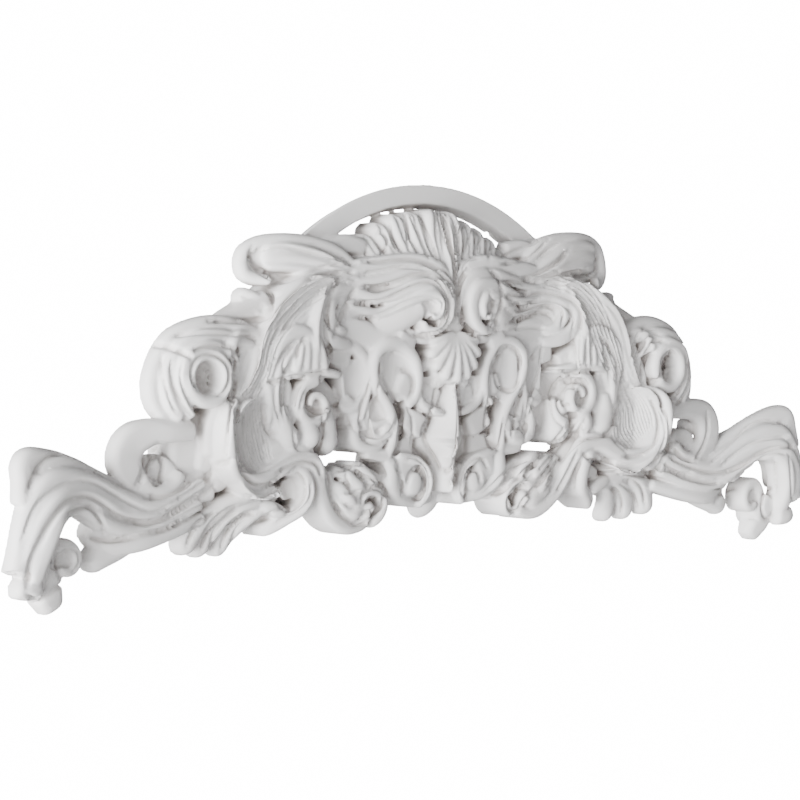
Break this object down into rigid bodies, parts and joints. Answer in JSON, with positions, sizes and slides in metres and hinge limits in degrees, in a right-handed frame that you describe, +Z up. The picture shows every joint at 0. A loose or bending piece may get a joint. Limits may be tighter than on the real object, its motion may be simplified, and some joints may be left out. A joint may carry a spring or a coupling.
{
  "type": "scroll onlay",
  "caption": "Carved rococo scroll onlay: paired scrolls, volutes and leaves about a shell and pendant, wings at each end and a plain arched band on top, with a flat back to fix on a surface",
  "frame": {"origin": "on the flat back plane, on the centre line, behind the pendant leaf", "axes": "+Z up as the onlay hangs, +X to the viewer's right along its length, -Y out of the wall towards the viewer; the flat back lies in the plane Y = 0 and faces +Y"},
  "size_m": [0.9134, 0.0793, 0.3338],
  "materials": {
    "primed_white": "matt white primer on cast polyurethane"
  },
  "bodies": {
    "root": {"scroll_onlay": "primed_white"}
  },
  "joints": []
}
